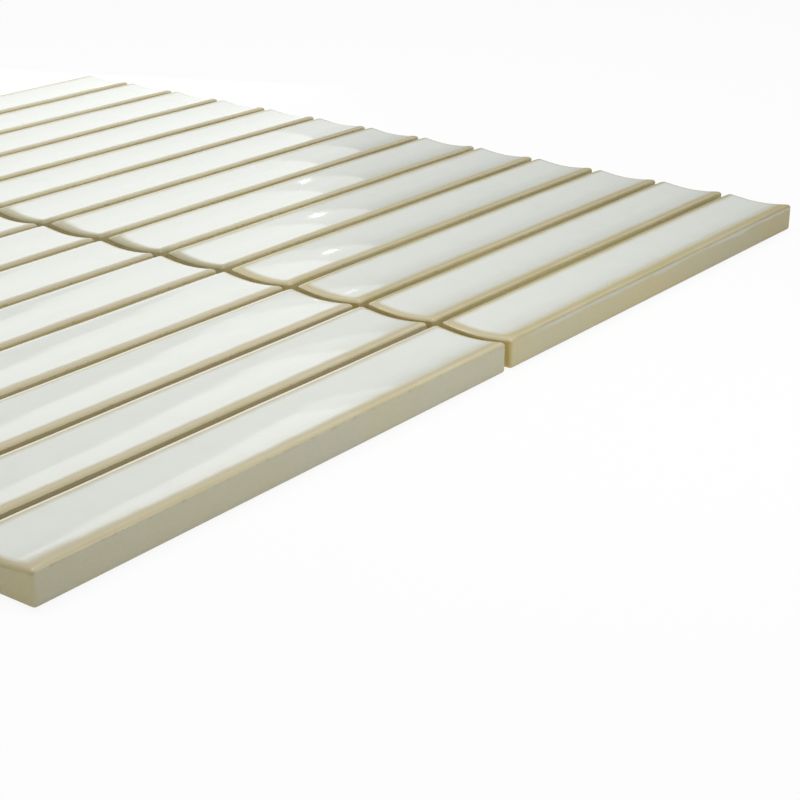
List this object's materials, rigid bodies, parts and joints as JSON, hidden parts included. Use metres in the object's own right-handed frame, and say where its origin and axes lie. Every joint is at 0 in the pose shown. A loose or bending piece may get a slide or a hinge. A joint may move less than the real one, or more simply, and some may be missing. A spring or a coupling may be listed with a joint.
{
  "type": "porcelain mosaic tile sheet",
  "caption": "Mesh-backed sheet of slim glazed porcelain stick tiles with hollowed faces, set in two columns with open joints, for facing walls.",
  "frame": {"origin": "middle of the sheet, on the plane that the mesh backing lies on", "axes": "+X along the sticks, +Y across the rows, +Z out of the glazed faces"},
  "size_m": [0.2922, 0.2876, 0.0078],
  "materials": {
    "glazed_porcelain": "gloss white glaze over a beige fired body that shows on the rims and sides",
    "glass_fibre_mesh": "off-white resin-bonded glass-fibre yarn"
  },
  "bodies": {
    "root": {"mesh_cross_strands": "glass_fibre_mesh", "mesh_long_strands": "glass_fibre_mesh", "stick_tile_row01_left": "glazed_porcelain", "stick_tile_row01_right": "glazed_porcelain", "stick_tile_row02_left": "glazed_porcelain", "stick_tile_row02_right": "glazed_porcelain", "stick_tile_row03_left": "glazed_porcelain", "stick_tile_row03_right": "glazed_porcelain", "stick_tile_row04_left": "glazed_porcelain", "stick_tile_row04_right": "glazed_porcelain", "stick_tile_row05_left": "glazed_porcelain", "stick_tile_row05_right": "glazed_porcelain", "stick_tile_row06_left": "glazed_porcelain", "stick_tile_row06_right": "glazed_porcelain", "stick_tile_row07_left": "glazed_porcelain", "stick_tile_row07_right": "glazed_porcelain", "stick_tile_row08_left": "glazed_porcelain", "stick_tile_row08_right": "glazed_porcelain", "stick_tile_row09_left": "glazed_porcelain", "stick_tile_row09_right": "glazed_porcelain", "stick_tile_row10_left": "glazed_porcelain", "stick_tile_row10_right": "glazed_porcelain", "stick_tile_row11_left": "glazed_porcelain", "stick_tile_row11_right": "glazed_porcelain", "stick_tile_row12_left": "glazed_porcelain", "stick_tile_row12_right": "glazed_porcelain", "stick_tile_row13_left": "glazed_porcelain", "stick_tile_row13_right": "glazed_porcelain"}
  },
  "joints": []
}
